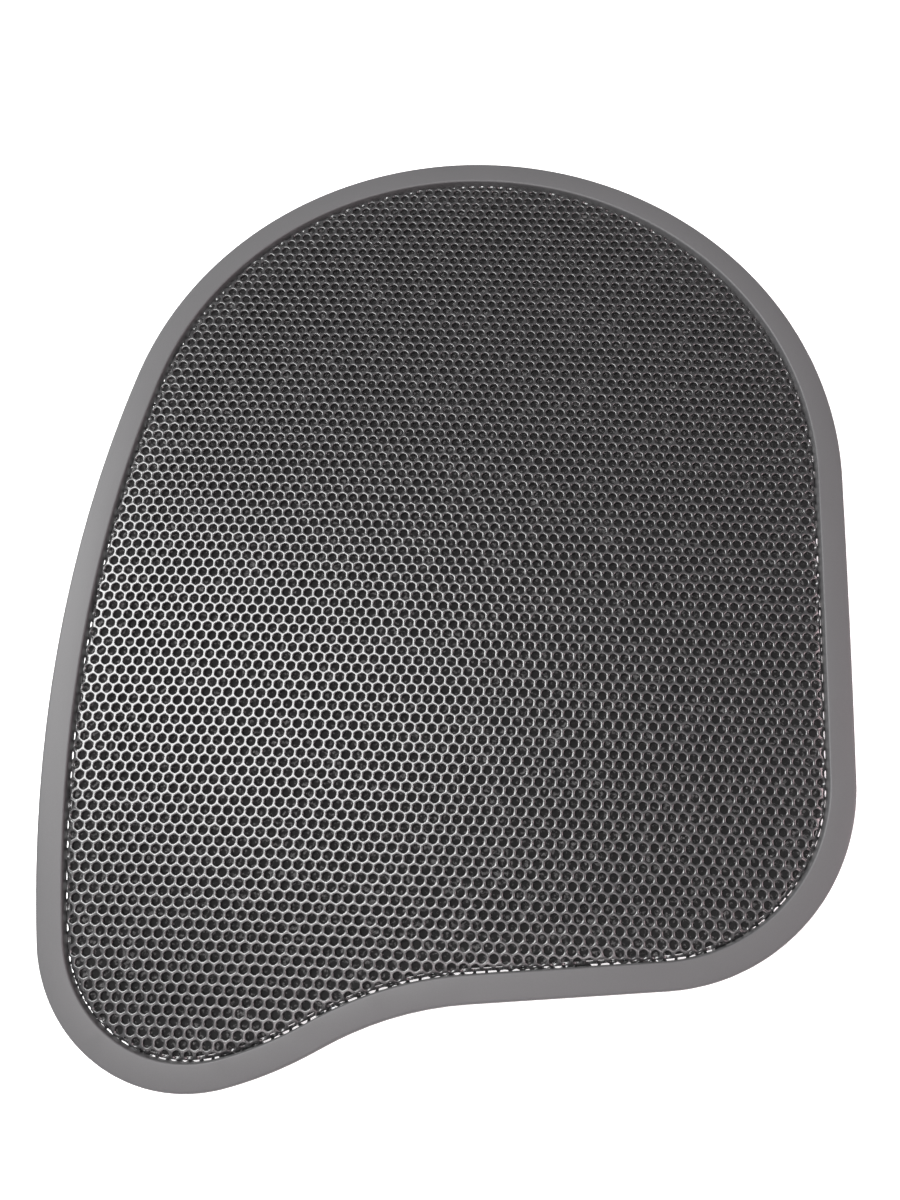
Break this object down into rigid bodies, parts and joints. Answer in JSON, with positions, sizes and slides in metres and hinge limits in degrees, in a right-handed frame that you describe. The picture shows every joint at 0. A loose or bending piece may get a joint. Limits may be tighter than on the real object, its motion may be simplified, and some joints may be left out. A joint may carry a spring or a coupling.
{
  "type": "loudspeaker grille",
  "caption": "Crowned loudspeaker grille for a vehicle door: a moulded bezel around a hexagonally perforated steel mesh, with cloth, spring clips and locating pins behind.",
  "frame": {"origin": "on the plane that the spring clips stand on, under the middle of the outline's box", "axes": "+Z out of the front face towards the listener, +Y to the top of the outline (the wide, round end), +X to the right seen from the front"},
  "size_m": [0.1814, 0.2294, 0.0216],
  "materials": {
    "bezel_plastic": "fine matte grain, dark grey",
    "mesh_coating": "semi-gloss black powder coat on steel",
    "cloth": "black non-woven scrim with loose pale fibres",
    "bond_film": "soft adhesive film",
    "retainer_steel": "zinc-plated spring steel",
    "clip_steel": "phosphated spring steel",
    "felt": "black needled felt"
  },
  "bodies": {
    "root": {"bezel": "bezel_plastic", "grille_mesh": "mesh_coating", "acoustic_cloth": "cloth", "cloth_bond": "bond_film", "push_retainer_01": "retainer_steel", "push_retainer_02": "retainer_steel", "push_retainer_03": "retainer_steel", "push_retainer_04": "retainer_steel", "push_retainer_05": "retainer_steel", "push_retainer_06": "retainer_steel", "push_retainer_07": "retainer_steel", "push_retainer_08": "retainer_steel", "push_retainer_09": "retainer_steel", "push_retainer_10": "retainer_steel", "push_retainer_11": "retainer_steel", "push_retainer_12": "retainer_steel", "spring_clip_1": "clip_steel", "spring_clip_2": "clip_steel", "spring_clip_3": "clip_steel", "spring_clip_4": "clip_steel", "spring_clip_5": "clip_steel", "spring_clip_6": "clip_steel", "felt_strip_1": "felt", "felt_strip_2": "felt", "felt_strip_3": "felt", "felt_strip_4": "felt", "felt_strip_5": "felt", "felt_strip_6": "felt"}
  },
  "joints": []
}
